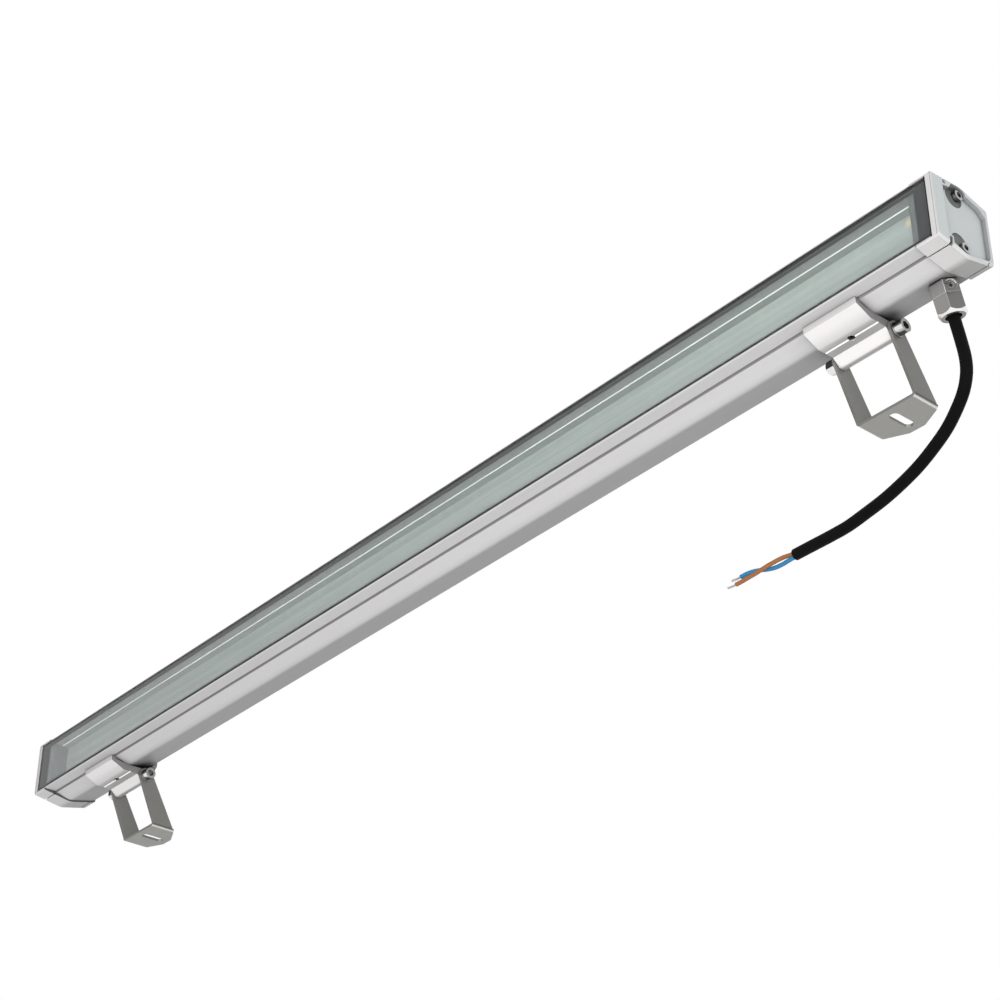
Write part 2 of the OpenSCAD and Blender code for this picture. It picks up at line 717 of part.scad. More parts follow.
module gland_body() color(nickel) at_gland() difference() {
    union() {
        translate([0, 0, oring_t]) cylinder(d = gland_af / cos(30), h = collar_h - oring_t, $fn = 6);
        translate([0, 0, -gland_stub]) cylinder(d = gland_thread, h = gland_stub + oring_t);
        translate([0, 0, collar_h]) cylinder(r = nut_cavity_r - fit_gap, h = gland_nut_h / 2);
    }
    translate([0, 0, -gland_stub - over]) cylinder(r = gland_bore_r, h = gland_stub + gland_h);
    rotate([0, 0, lock_angle]) translate([gland_af / 2 - lock_pocket_d, 0, collar_h / 2])
        rotate([0, 90, 0]) cylinder(r = lock_pocket_r, h = lock_pocket_d + over);
    rotate([0, 0, lock_angle]) translate([gland_af / 2 - lock_pocket_d - lock_screw_l, 0, collar_h / 2])
        rotate([0, 90, 0]) cylinder(r = lock_screw_r + running_gap, h = lock_screw_l + over);
}

module gland_oring() color(black) at_gland() difference() {
    cylinder(r = oring_r, h = oring_t);
    translate([0, 0, -over]) cylinder(d = gland_thread + 2 * running_gap, h = oring_t + 2 * over);
}

module gland_lock_screw() color(nickel) at_gland() rotate([0, 0, lock_angle])
    translate([gland_af / 2 - lock_pocket_d - lock_screw_l, 0, collar_h / 2])
    rotate([0, 90, 0]) difference() {
        cylinder(r = lock_screw_r, h = lock_screw_l);
        translate([0, 0, lock_screw_l * key_depth_share])
            cylinder(r = lock_key_r, h = lock_screw_l, $fn = 6);
    }

module gland_nut() color(nickel) at_gland() difference() {
    intersection() {
        translate([0, 0, collar_h + running_gap])
            cylinder(d = gland_af / cos(30), h = gland_nut_h - running_gap, $fn = 6);
        union() {
            translate([0, 0, collar_h]) cylinder(d = gland_af / cos(30), h = gland_nut_h * nut_hex_share);
            translate([0, 0, collar_h + gland_nut_h * nut_hex_share])
                cylinder(d1 = gland_af / cos(30), d2 = gland_af * nut_tip_share,
                    h = gland_nut_h * (1 - nut_hex_share));
        }
    }
    translate([0, 0, collar_h - over]) cylinder(r = nut_cavity_r, h = gland_nut_h + over - nut_lip_t);
    translate([0, 0, collar_h]) cylinder(r = nut_mouth_r, h = gland_nut_h + over);
}

module gland_seal() color(black) at_gland() difference() {
    translate([0, 0, collar_h + gland_nut_h / 2 + fit_gap])
        cylinder(r = nut_cavity_r - fit_gap, h = gland_nut_h / 2 - nut_lip_t - 2 * fit_gap);
    translate([0, 0, collar_h]) cylinder(d = cable_d + 2 * running_gap, h = gland_nut_h + over);
}

module inner_cable() color(black) at_gland() translate([0, 0, gland_h - inner_cable_l])
    cylinder(d = cable_d, h = inner_cable_l);

// The free cable and its cores

module cable() color(black) swept_tube(cable_route, cable_d, 12);
module brown_core() color([0.70, 0.42, 0.20]) swept_tube(brown_route, core_d, 8);
module blue_core() color([0.15, 0.50, 0.80]) swept_tube(blue_route, core_d, 8);
module brown_strand() color(nickel) swept_tube(brown_strand_route, strand_d, 8);
module blue_strand() color(nickel) swept_tube(blue_strand_route, strand_d, 8);

// Clips, drawn round the middle of their length

inner_flat = bend_top + loose_gap;
leg_y = body_depth + seat_gap;
leg_foot_z = side_at(body_depth) - back_r / 2;
leg_top_z = back_groove_z - leg_overlap;

// Where the line from the foot of the leg touches the barrel
leg_far = [leg_y + leg_t, -back_half];
barrel_centre = [pivot_y, -pivot_drop];
leg_reach = norm(leg_far - barrel_centre);
leg_slope = atan((leg_far[1] - barrel_centre[1]) / (leg_far[0] - barrel_centre[0]));
leg_angle = leg_slope - acos(barrel_r / leg_reach);
barrel_touch = barrel_centre + barrel_r * [cos(leg_angle), sin(leg_angle)];
web_dir = unit(leg_far - barrel_touch);
web_in = barrel_touch + leg_t * [-web_dir[1], web_dir[0]];
web_y_at_flat = web_in[0] + (-inner_flat - web_in[1]) * web_dir[0] / web_dir[1];

// Lip under the groove, sloping facet, flat underside with its line, and the leg up the back
module clip_section() polygon([
    [clip_front_y, -front_half - loose_gap],
    [clip_front_y + lip_chamfer, -front_half - clip_lip_drop],
    [facet_y, -pivot_drop],
    [mark_y - mark_w / 2, -pivot_drop],
    [mark_y, -pivot_drop + mark_d],
    [mark_y + mark_w / 2, -pivot_drop],
    [barrel_blend_y, -pivot_drop],
    [pivot_y - barrel_r * cos(45), -pivot_drop - barrel_r * sin(45)],
    barrel_centre,
    barrel_touch,
    leg_far,
    [leg_y + leg_t, -leg_top_z],
    [leg_y, -leg_top_z],
    [leg_y, -leg_foot_z],
    [web_y_at_flat, -inner_flat],
    [bend_y, -inner_flat],
    [bend_y - relief_back, -side_half - relief_slope_d],
    [groove_y + groove_w + relief_w, -side_half - relief_d],
    [groove_y + groove_w, -side_half - loose_gap],
    [groove_y + groove_w, -front_half - loose_gap]]);

// Tongue in the leaning groove
module clip_tongue() polygon([
    [groove_y + loose_gap, -front_half - clip_lip_drop / 2],
    [groove_y + loose_gap, -front_half],
    [groove_y + loose_gap - groove_lean, -front_half + groove_d - loose_gap],
    [groove_y + groove_w - loose_gap, -front_half + groove_d - loose_gap],
    [groove_y + groove_w - loose_gap, -front_half - clip_lip_drop / 2]]);

// Toe in the groove of the back wall
module clip_toe() translate([body_depth - groove_d + loose_gap, -back_groove_z - groove_w / 2 + loose_gap])
    square([groove_d - loose_gap + seat_gap + leg_t / 2, groove_w - 2 * loose_gap]);

module clip() difference() {
    union() {
        along_x(-clip_l / 2, clip_l / 2) clip_section();
        along_x(-clip_l / 2, clip_l / 2) clip_tongue();
        along_x(-clip_l / 2, clip_l / 2) clip_toe();
        translate([0, pivot_y, -pivot_drop]) bar_x(-clip_l / 2, clip_l / 2, barrel_r);
    }
    translate([0, pivot_y, -pivot_drop]) bar_x(-clip_l, clip_l, bore_r);
    translate([0, mark_y, -pivot_drop - over])
        cylinder(d = set_screw_d + 2 * running_gap, h = clip_drop + 2 * over);
}

module set_screw() translate([0, mark_y, -pivot_drop + set_screw_sink]) difference() {
    cylinder(d = set_screw_d, h = pivot_drop - set_screw_sink - bend_top - running_gap);
    translate([0, 0, -over]) cylinder(d = set_screw_d / 2, h = over + set_screw_d / 3, $fn = 6);
}

module left_clip() color(aluminium) in_lamp() translate([-clip_x, 0, 0]) clip();
module right_clip() color(aluminium) in_lamp() translate([clip_x, 0, 0]) clip();
module left_set_screw() color(steel) in_lamp() translate([-clip_x, 0, 0]) set_screw();
module right_set_screw() color(steel) in_lamp() translate([clip_x, 0, 0]) set_screw();

// Brackets, drawn round their own middle, with the slot's centre at zero

module u_outline(half_w, floor_z, r) {
    translate([-half_w, floor_z + r]) square([2 * half_w, 2 * pivot_h]);
    translate([-half_w + r, floor_z]) square([2 * (half_w - r), r + over]);
    for (s = [-1, 1]) translate([s * (half_w - r), floor_z + r]) circle(r = r);
}

module bent_sheet() rotate([90, 0, 0]) linear_extrude(4 * foot_d, center = true) difference() {
    u_outline(bracket_w / 2, 0, bend_out_r);
    u_outline(arm_gap / 2, sheet_t, bend_in_r);
}

// Side view of the arms: tangent edges from the round top down to the foot
arm_back_y = -slot_back + arm_r * cos(arm_back_slant)
    + tan(arm_back_slant) * (pivot_h + arm_r * sin(arm_back_slant));
foot_front_y = -foot_d / 2;
module arm_side() translate([-bracket_w, 0, 0]) rotate([90, 0, 90]) linear_extrude(2 * bracket_w) {
    translate([-slot_back, pivot_h]) circle(r = arm_r);
    polygon([
        [-slot_back - arm_r * cos(arm_front_slant), pivot_h - arm_r * sin(arm_front_slant)],
        [foot_front_y, bend_out_r],
        [foot_front_y, 0],
        [arm_back_y, 0],
        [-slot_back + arm_r * cos(arm_back_slant), pivot_h + arm_r * sin(arm_back_slant)]]);
}

module foot_plan() linear_extrude(sheet_t) difference() {
    polygon([
        [-bracket_w / 2, foot_front_y], [bracket_w / 2, foot_front_y], [bracket_w / 2, arm_back_y],
        [tail_w / 2, foot_d / 2], [-tail_w / 2, foot_d / 2], [-bracket_w / 2, arm_back_y]]);
    for (s = [-1, 1]) translate([0, s * (slot_l - slot_w) / 2]) circle(d = slot_w);
    translate([-slot_w / 2, -(slot_l - slot_w) / 2]) square([slot_w, slot_l - slot_w]);
}

module bracket() difference() {
    union() {
        intersection() {
            bent_sheet();
            difference() {
                arm_side();
                translate([-arm_gap / 2 + bend_in_r, -foot_d, -over])
                    cube([arm_gap - 2 * bend_in_r, 2 * foot_d, 2 * pivot_h]);
            }
        }
        intersection() {
            bent_sheet();
            foot_plan();
        }
    }
    translate([0, -slot_back, pivot_h]) bar_x(-bracket_w, bracket_w, arm_hole_r);
}

module left_bracket() color(steel) translate([-clip_x, 0, 0]) bracket();
module right_bracket() color(steel) translate([clip_x, 0, 0]) bracket();

// Pivot bolts with their heads on the right, and their washers and nuts

module at_pivot(s) translate([s * clip_x, -slot_back, pivot_h]) children();

module bolt() translate([bracket_w / 2 + washer_t, 0, 0]) rotate([0, 90, 0])
    socket_screw(bolt_d, bracket_w + 2 * washer_t + nut_h + bolt_tip, bolt_head_d, bolt_head_h);

module washers() difference() {
    for (x = [-bracket_w / 2 - washer_t, bracket_w / 2]) bar_x(x, x + washer_t, washer_d / 2);
    bar_x(-bracket_w, bracket_w, arm_hole_r);
}

module nut() translate([-bracket_w / 2 - washer_t, 0, 0]) rotate([0, -90, 0]) difference() {
    intersection() {
        cylinder(d = nut_af / cos(30), h = nut_h, $fn = 6);
        union() {
            cylinder(d = nut_af / cos(30), h = nut_h * nut_hex_share);
            translate([0, 0, nut_h * nut_hex_share])
                cylinder(d1 = nut_af / cos(30), d2 = nut_af * nut_top_share,
                    h = nut_h * (1 - nut_hex_share));
        }
    }
    translate([0, 0, -over]) cylinder(r = bore_r, h = nut_h + 2 * over);
}

module left_bolt() color(steel) at_pivot(-1) bolt();
module right_bolt() color(steel) at_pivot(1) bolt();
module left_washers() color(nickel) at_pivot(-1) washers();
module right_washers() color(nickel) at_pivot(1) washers();
module left_nut() color(steel) at_pivot(-1) nut();
module right_nut() color(steel) at_pivot(1) nut();

housing_profile();
front_glass();
glass_border();
glass_seal();
optic_frame();
optic_plate();
left_baffle();
right_baffle();
left_led_board();
right_led_board();
left_leds();
right_leds();
board_screws();
board_link();
driver();
driver_screws();
terminal_block();
inner_leads();
left_end_cap();
right_end_cap();
left_cap_gasket();
right_cap_gasket();
left_cap_screws();
right_cap_screws();
gland_body();
gland_oring();
gland_lock_screw();
gland_seal();
gland_nut();
inner_cable();
cable();
brown_core();
blue_core();
brown_strand();
blue_strand();
left_clip();
right_clip();
left_set_screw();
right_set_screw();
left_bracket();
right_bracket();
left_bolt();
right_bolt();
left_washers();
right_washers();
left_nut();
right_nut();
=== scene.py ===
import json
import math
import random

import bmesh
import bpy
from mathutils import Matrix, Vector


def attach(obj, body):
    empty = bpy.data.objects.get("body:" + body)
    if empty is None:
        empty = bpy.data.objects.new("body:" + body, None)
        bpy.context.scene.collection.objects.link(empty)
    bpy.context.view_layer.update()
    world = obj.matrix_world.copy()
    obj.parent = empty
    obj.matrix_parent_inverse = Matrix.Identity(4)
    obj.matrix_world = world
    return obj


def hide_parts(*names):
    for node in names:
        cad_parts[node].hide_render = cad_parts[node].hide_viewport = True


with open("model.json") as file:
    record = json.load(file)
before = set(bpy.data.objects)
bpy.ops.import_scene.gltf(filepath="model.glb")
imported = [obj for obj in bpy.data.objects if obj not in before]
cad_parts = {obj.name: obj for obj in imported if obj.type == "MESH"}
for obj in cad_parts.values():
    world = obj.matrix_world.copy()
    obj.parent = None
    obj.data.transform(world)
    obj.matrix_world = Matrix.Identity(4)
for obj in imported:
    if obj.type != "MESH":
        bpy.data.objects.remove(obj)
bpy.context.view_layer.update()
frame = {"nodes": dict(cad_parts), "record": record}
nodes = frame["nodes"]
random.seed(7)

# Metres in a millimetre. Sizes are in millimetres. The places of the camera, of the cords' routes, of the
# floor and of the lights are in metres.
MM = 0.001

X = (1, 0, 0)
Y = (0, 1, 0)
Z = (0, 0, 1)

# Y of the glass front and Z of the middle of the housing's section, in the CAD model
FRONT_Y = -67.0
CENTRE_Z = 74.5

# The camera is at the photograph's angle: it looks up at the lamp from the front, right and below
CAMERA_PLACE = (1.0814, -0.8801, -0.73)
CAMERA_RIGHT = (0.64647882, 0.76293043, 0.00151681)
CAMERA_UP = (0.40313, -0.34328, 0.84832)
CAMERA_AHEAD = (-0.64772803, 0.54780791, 0.5294855)
CAMERA_LENS = 78.29
CAMERA_SENSOR = 36.0
CAMERA_NEAR = 0.05
CAMERA_FAR = 50.0


def put_in_scene(obj):
    bpy.context.scene.collection.objects.link(obj)


def make_camera():
    data = bpy.data.cameras.new("camera")
    data.sensor_width = CAMERA_SENSOR
    data.lens = CAMERA_LENS
    data.clip_start = CAMERA_NEAR
    data.clip_end = CAMERA_FAR
    camera = bpy.data.objects.new("camera", data)
    put_in_scene(camera)
    turn = Matrix((CAMERA_RIGHT, CAMERA_UP, -Vector(CAMERA_AHEAD))).transposed()
    camera.matrix_world = Matrix.Translation(CAMERA_PLACE) @ turn.to_4x4()
    bpy.context.scene.camera = camera


make_camera()


# Nodes that the finishes are made of

# The sum of two noises seldom leaves this range, and ambient occlusion seldom falls under this value
NOISE_SUM_RANGE = (0.7, 1.3)
DARKEST_CREASE = 0.15
CREASE_SAMPLES = 6
NOISE_ROUGHNESS = 0.55
FINE_DETAIL = 6.0
WIDE_DETAIL = 3.0


def new_tree(name):
    mat = bpy.data.materials.new(name)
    mat.use_nodes = True
    return mat, mat.node_tree, mat.node_tree.nodes["Principled BSDF"]


def add_node(nt, kind, inputs=None, **settings):
    """A new node, with its settings and with values or sockets for its inputs."""
    node = nt.nodes.new(kind)
    for key, value in settings.items():
        setattr(node, key, value)
    for key, value in (inputs or {}).items():
        if isinstance(value, bpy.types.NodeSocket):
            nt.links.new(value, node.inputs[key])
        else:
            node.inputs[key].default_value = value
    return node


def calculate(nt, how, *values):
    """The result of a Math node on sockets or numbers."""
    return add_node(nt, "ShaderNodeMath", dict(enumerate(values)), operation=how).outputs[0]


def combined(nt, a, b, how="MULTIPLY"):
    """Two colours or tones in one: multiplied, or joined in the way that is named."""
    return add_node(nt, "ShaderNodeVectorMath", {0: a, 1: b}, operation=how).outputs["Vector"]


def surface_place(nt):
    return add_node(nt, "ShaderNodeTexCoord").outputs["Object"]


def surface_place_split(nt):
    return add_node(nt, "ShaderNodeSeparateXYZ", {"Vector": surface_place(nt)}).outputs


def noise(nt, cells, detail):
    """Noise with that many cells per metre: one number, or one each along X, Y and Z."""
    scale = cells if isinstance(cells, tuple) else (cells, cells, cells)
    place = add_node(nt, "ShaderNodeMapping", {"Vector": surface_place(nt), "Scale": scale})
    return add_node(nt, "ShaderNodeTexNoise",
                    {"Vector": place.outputs["Vector"], "Scale": 1.0, "Detail": detail,
                     "Roughness": NOISE_ROUGHNESS}).outputs["Fac"]


def ramp(nt, value, low, high, start=0.0, stop=1.0):
    """Maps a value from start..stop to low..high."""
    return add_node(nt, "ShaderNodeMapRange",
                    {"Value": value, "From Min": start, "From Max": stop,
                     "To Min": low, "To Max": high}).outputs["Result"]


def blend_colours(nt, share, a, b):
    """Colour a where share is 0, b where it is 1."""
    mix = add_node(nt, "ShaderNodeMix", data_type="RGBA")
    nt.links.new(share, mix.inputs[0])
    for socket, value in ((mix.inputs[6], a), (mix.inputs[7], b)):
        if isinstance(value, bpy.types.NodeSocket):
            nt.links.new(value, socket)
        else:
            socket.default_value = (*value, 1.0)
    return mix.outputs[2]


def bump(nt, bsdf, height, depth):
    relief = add_node(nt, "ShaderNodeBump", {"Height": height, "Distance": depth * MM, "Strength": 1.0})
    nt.links.new(relief.outputs["Normal"], bsdf.inputs["Normal"])


def facing_painted_light(nt, axis, stops):
    """Painted light and shade by the way the surface faces: stops are pairs of the normal's reach along
    axis and a tone.
    """
    place = add_node(nt, "ShaderNodeTexCoord")
    reach = add_node(nt, "ShaderNodeVectorMath", {0: place.outputs["Normal"], 1: axis},
                     operation="DOT_PRODUCT").outputs["Value"]
    scale = add_node(nt, "ShaderNodeValToRGB", {"Fac": ramp(nt, reach, 0.0, 1.0, -1.0, 1.0)})
    elements = scale.color_ramp.elements
    elements.remove(elements[1])
    for i, (at, tone) in enumerate(stops):
        position = at / 2 + 0.5
        element = elements.new(position) if i else elements[0]
        element.position = position
        element.color = (tone, tone, tone, 1.0)
    return scale.outputs["Color"]


def painted_crease_shade(nt, distance, dark, open_at):
    """Painted shade: a tone that falls to dark in corners and beside pieces closer than distance.

    open_at is the share of open sky from which the surface keeps its full tone.
    """
    shade = add_node(nt, "ShaderNodeAmbientOcclusion", {"Distance": distance * MM},
                     samples=CREASE_SAMPLES)
    return ramp(nt, shade.outputs["AO"], dark, 1.0, DARKEST_CREASE, open_at)


def line_tone(nt, start, stop, tone):
    """Tone of a thin line round the lamp, from start to stop millimetres from its middle."""
    reach = calculate(nt, "ABSOLUTE", surface_place_split(nt)["X"])
    on_line = calculate(nt, "COMPARE", reach, (start + stop) / 2 * MM, (stop - start) / 2 * MM)
    return ramp(nt, on_line, 1.0, tone)


def surface(name, colour, rough, grain, cloud, vary, depth, metallic=0.0, specular=None,
            painted_light=(), crease_shade=None, line=None):
    """A finish: colour that varies a little in clouds and grain, uneven gloss and a fine bump.

    vary is the share by which the colour varies, rough the lowest and highest roughness, and depth the
    height of the bump in millimetres. Each row of facing holds the axis and stops of facing_painted_light,
    and how its tone joins the one before it; these rows paint light and shade by the way the faces turn.
    crease and line hold what painted_crease_shade and line_tone take; crease paints shade into corners.
    """
    mat, nt, bsdf = new_tree(name)
    fine = noise(nt, grain, FINE_DETAIL)
    wide = noise(nt, cloud, WIDE_DETAIL)
    both = calculate(nt, "ADD", fine, wide)
    darker = tuple(c * (1 - vary) for c in colour)
    lighter = tuple(min(1.0, c * (1 + vary)) for c in colour)
    base = blend_colours(nt, ramp(nt, both, 0.0, 1.0, *NOISE_SUM_RANGE), darker, lighter)
    tone = None
    for axis, stops, *how in painted_light:
        next_tone = facing_painted_light(nt, axis, stops)
        tone = combined(nt, tone, next_tone, *how) if tone else next_tone
    if tone:
        base = combined(nt, base, tone)
    if crease_shade:
        base = combined(nt, base, painted_crease_shade(nt, *crease_shade))
    if line:
        base = combined(nt, base, line_tone(nt, *line))
    nt.links.new(base, bsdf.inputs["Base Color"])
    nt.links.new(ramp(nt, both, *rough, *NOISE_SUM_RANGE), bsdf.inputs["Roughness"])
    bsdf.inputs["Metallic"].default_value = metallic
    if specular is not None:
        bsdf.inputs["Specular IOR Level"].default_value = specular
    bump(nt, bsdf, fine, depth)
    return mat


# What several finishes share. An extruded piece is streaked along X.
EXTRUDED = {"grain": (6, 1500, 1500), "vary": 0.03}
MATT_GREY = {"grain": (6, 1500, 1500), "cloud": (8, 60, 60), "rough": (0.45, 0.6), "vary": 0.05,
             "depth": 0.008}
PAINTED = {"grain": 1400, "cloud": 40, "vary": 0.03, "depth": 0.008}
POLISHED = {"grain": 2500, "cloud": 120, "depth": 0.003}
SCREW_FACE = {**POLISHED, "metallic": 1.0, "rough": (0.16, 0.28), "vary": 0.06, "crease_shade": (1.5, 0.1, 0.8)}
NICKEL = {"colour": (0.92, 0.90, 0.89), "metallic": 0.7, "rough": (0.14, 0.24), "grain": (2200, 2200, 900),
          "cloud": 90, "vary": 0.04, "depth": 0.003, "crease_shade": (3, 0.15, 0.8)}
CORE = {"rough": (0.34, 0.48), "grain": (900, 2600, 2600), "cloud": 150, "vary": 0.04, "depth": 0.008}

# Painted light and shade: the facing rows give the housing a lighter underside strip and a darker rear
# side, the caps a darker rear side and shaded chamfers, the clips lit and shaded facets, the brackets
# painted highlights on their bends and front edges, and the stainless steel, the nuts and the nickel gland
# painted reflections. The crease rows paint shade into corners and beside nearby pieces.
FINISHES = {
    "anodised_housing": dict(
        EXTRUDED, colour=(0.54, 0.53, 0.535), metallic=0.05, specular=0.35, rough=(0.4, 0.52),
        cloud=(3, 30, 30), depth=0.006, crease_shade=(24, 0.03, 0.93), line=(487.1, 488, 0.3),
        painted_light=[(Z, [(-1.0, 1.08), (-0.985, 0.92), (1.0, 0.92)]),
                (Y, [(-0.95, 0.5), (-0.7, 1.0), (-0.2, 1.0), (0.25, 0.7), (0.8, 0.55), (1.0, 0.85)])]),
    # Painted shade: a dark grey for the faces inside the housing behind the glass and the rails' level
    # faces.
    "inner_shade": dict(MATT_GREY, colour=(0.13, 0.138, 0.138)),
    # Painted shade: a darker grey for the faces in the housing's groove.
    "groove_shade": dict(MATT_GREY, colour=(0.26, 0.255, 0.26), metallic=0.1),
    "cap_paint": dict(
        PAINTED, colour=(0.515, 0.505, 0.50), metallic=0.04, rough=(0.34, 0.46), crease_shade=(5, 0.12, 0.8),
        line=(503.35, 503.8, 0.5), painted_light=[(Y, [(-0.2, 1.0), (0.25, 0.68), (1.0, 0.85)])]),
    # Painted light and shade on the cap face's chamfer: lighter where it faces down, dark where it faces
    # up.
    "cap_edge_shading": dict(
        PAINTED, colour=(0.58, 0.58, 0.58), metallic=0.15, rough=(0.3, 0.42),
        painted_light=[(Z, [(-1.0, 0.85), (-0.45, 0.85), (-0.2, 0.35), (1.0, 0.35)])]),
    "cap_panel": dict(
        PAINTED, colour=(0.47, 0.495, 0.495), metallic=0.1, rough=(0.36, 0.48), crease_shade=(6, 0.1, 0.8)),
    # Painted shade: a dark grey for the walls of the end caps' recess.
    "cap_wall_shade": dict(
        PAINTED, colour=(0.24, 0.245, 0.245), metallic=0.1, rough=(0.36, 0.48), crease_shade=(3, 0.2, 0.8)),
    "cap_shade": dict(
        colour=(0.10, 0.105, 0.105), metallic=0.1, rough=(0.4, 0.5), grain=1400, cloud=40, vary=0.08,
        depth=0.01, crease_shade=(4, 0.3, 0.8)),
    "clip_aluminium": dict(
        EXTRUDED, colour=(0.63, 0.61, 0.608), metallic=0.06, rough=(0.28, 0.4), cloud=(10, 60, 60),
        depth=0.006, crease_shade=(5, 0.2, 0.8),
        painted_light=[(Z, [(-1.0, 0.52), (-0.985, 0.58), (-0.93, 1.0), (-0.8, 1.0), (-0.5, 0.85), (-0.1, 0.75),
                     (1.0, 0.75)]),
                (X, [(-0.9, 0.4), (-0.5, 1.0), (0.5, 1.0), (0.9, 0.4)])]),
    # Painted highlight: a near white for the faces of the clips' V line.
    "clip_line_highlight": dict(
        EXTRUDED, colour=(0.86, 0.86, 0.86), metallic=0.1, rough=(0.3, 0.4), cloud=(10, 60, 60),
        depth=0.004),
    "bracket_steel": dict(
        colour=(0.47, 0.463, 0.435), metallic=0.3, rough=(0.34, 0.5), grain=(1600, 1600, 200), cloud=50,
        vary=0.05, depth=0.01, crease_shade=(4, 0.4, 0.8),
        painted_light=[(Z, [(-1.0, 0.6), (-0.97, 0.65), (-0.92, 1.3), (-0.78, 1.1), (-0.55, 0.15), (-0.3, 0.2),
                     (-0.1, 0.34), (0.5, 0.34), (1.0, 0.4)]),
                (Y, [(-1.0, 1.0), (-0.97, 1.0), (-0.9, 2.2), (-0.5, 2.2), (-0.3, 1.0), (1.0, 1.0)])]),
    "stainless": dict(
        POLISHED, colour=(0.90, 0.89, 0.88), metallic=1.0, rough=(0.12, 0.24), vary=0.04,
        crease_shade=(2, 0.15, 0.8),
        painted_light=[(Z, [(-1.0, 0.3), (-0.85, 0.6), (-0.65, 1.0), (-0.25, 1.0), (-0.1, 0.35), (0.05, 0.3),
                     (0.3, 0.08), (1.0, 0.4)])]),
    "nut_steel": dict(
        POLISHED, colour=(0.88, 0.87, 0.86), metallic=0.8, rough=(0.14, 0.26), vary=0.05,
        crease_shade=(2, 0.15, 0.8),
        painted_light=[(Z, [(-1.0, 0.8), (-0.8, 0.95), (-0.5, 1.0), (-0.2, 0.09), (0.3, 0.07), (1.0, 0.3)]),
                (Y, [(-1.0, 1.0), (0.0, 1.0), (0.3, 0.6), (1.0, 0.6)])]),
    "baffle_grey": dict(
        colour=(0.045, 0.049, 0.053), rough=(0.45, 0.6), grain=1600, cloud=60, vary=0.08, depth=0.02),
    # Painted light and shade of the screws' and bolts' steel: their end faces get tones of their own,
    # lighter on the cap screws and darker on the bolts.
    "lit_screw_face": dict(SCREW_FACE, colour=(0.46, 0.455, 0.45)),
    "shaded_bolt_face": dict(SCREW_FACE, colour=(0.30, 0.30, 0.305)),
    "dark_steel": dict(
        POLISHED, colour=(0.13, 0.125, 0.12), metallic=1.0, rough=(0.2, 0.32), vary=0.08, depth=0.004,
        crease_shade=(2, 0.1, 0.9)),
    "nickel_brass": dict(
        NICKEL,
        painted_light=[(X, [(-0.9, 0.5), (-0.05, 0.24), (0.1, 0.28), (0.3, 1.0), (0.6, 1.0), (0.75, 0.26),
                     (0.87, 0.24), (0.95, 0.5), (1.0, 0.6)]),
                (Z, [(-1.0, 0.4), (-0.9, 1.0), (-0.5, 1.0), (-0.35, 0.0), (1.0, 0.0)], "MAXIMUM")]),
    "nickel_nut": dict(
        NICKEL,
        painted_light=[(X, [(-0.9, 0.5), (-0.05, 0.24), (0.1, 0.28), (0.3, 0.55), (0.55, 0.55), (0.66, 1.0),
                     (0.75, 0.2), (0.87, 0.16), (0.95, 0.6), (1.0, 0.7)]),
                (Z, [(-1.0, 0.2), (-0.94, 0.25), (-0.88, 0.8), (-0.5, 1.0), (-0.35, 0.0), (1.0, 0.0)],
                 "MAXIMUM")]),
    "black_print": dict(
        colour=(0.058, 0.058, 0.061), rough=(0.3, 0.42), grain=3000, cloud=60, vary=0.15, depth=0.003),
    "black_rubber": dict(
        colour=(0.003, 0.003, 0.003), specular=0.05, rough=(0.42, 0.58), grain=1800, cloud=80, vary=0.25,
        depth=0.02),
    "white_frame": dict(
        EXTRUDED, colour=(0.50, 0.51, 0.50), rough=(0.4, 0.5), cloud=(8, 60, 60), depth=0.008),
    "grey_plastic": dict(
        colour=(0.055, 0.06, 0.062), rough=(0.45, 0.6), grain=1600, cloud=60, vary=0.1, depth=0.02),
    "white_board": dict(
        colour=(0.70, 0.72, 0.70), rough=(0.3, 0.45), grain=700, cloud=50, vary=0.05, depth=0.01),
    "led_yellow": dict(
        colour=(0.85, 0.62, 0.10), rough=(0.25, 0.4), grain=2500, cloud=300, vary=0.1, depth=0.01),
    "white_plastic": dict(
        colour=(0.75, 0.75, 0.72), rough=(0.35, 0.5), grain=1200, cloud=60, vary=0.05, depth=0.015),
    "driver_case": dict(
        colour=(0.03, 0.032, 0.035), metallic=0.1, rough=(0.4, 0.55), grain=1200, cloud=60, vary=0.15,
        depth=0.02),
    "brown_core": dict(CORE, colour=(0.235, 0.09, 0.028)),
    "blue_core": dict(CORE, colour=(0.015, 0.145, 0.30)),
    "tinned_copper": dict(
        colour=(0.72, 0.72, 0.72), metallic=1.0, rough=(0.2, 0.35), grain=4000, cloud=500, vary=0.1,
        depth=0.004),
}

# The frosted plate. Its tones rise from the left end to the right, and from the lower to the upper of two
# heights above its middle. The LEDs' spots lie where the photograph shows them. They are faint but for
# those at the right end.
# The rises of these tones are painted shade: darker towards the left end and the lower edge.
PLATE_COLOURS = ((0.138, 0.153, 0.149), (0.196, 0.211, 0.204))
PLATE_GRAIN = 1800
PLATE_DETAIL = 5.0
PLATE_BUMP = 0.01
PLATE_ROUGH = (0.42, 0.6)
PLATE_STREAKS = (2.5, 220, 220)
PLATE_STREAK_RANGE = (0.38, 0.62)
PLATE_END_X = 500
PLATE_SHADE_ALONG = (0.86, 1.12)
PLATE_SHADE_UP = (0.82, 1.06)
PLATE_SHADE_HEIGHTS = (-4, 14)
LED_PITCH = 40
FIRST_SPOT_X = 33
SPOT_HEIGHT = 13.5
SPOT_RADII = (1.0, 4)
SPOT_STRENGTHS = (0.1, 0.75)
SPOTS_SHOW_X = (440, 460)
SPOT_COLOUR = (0.42, 0.31, 0.17)


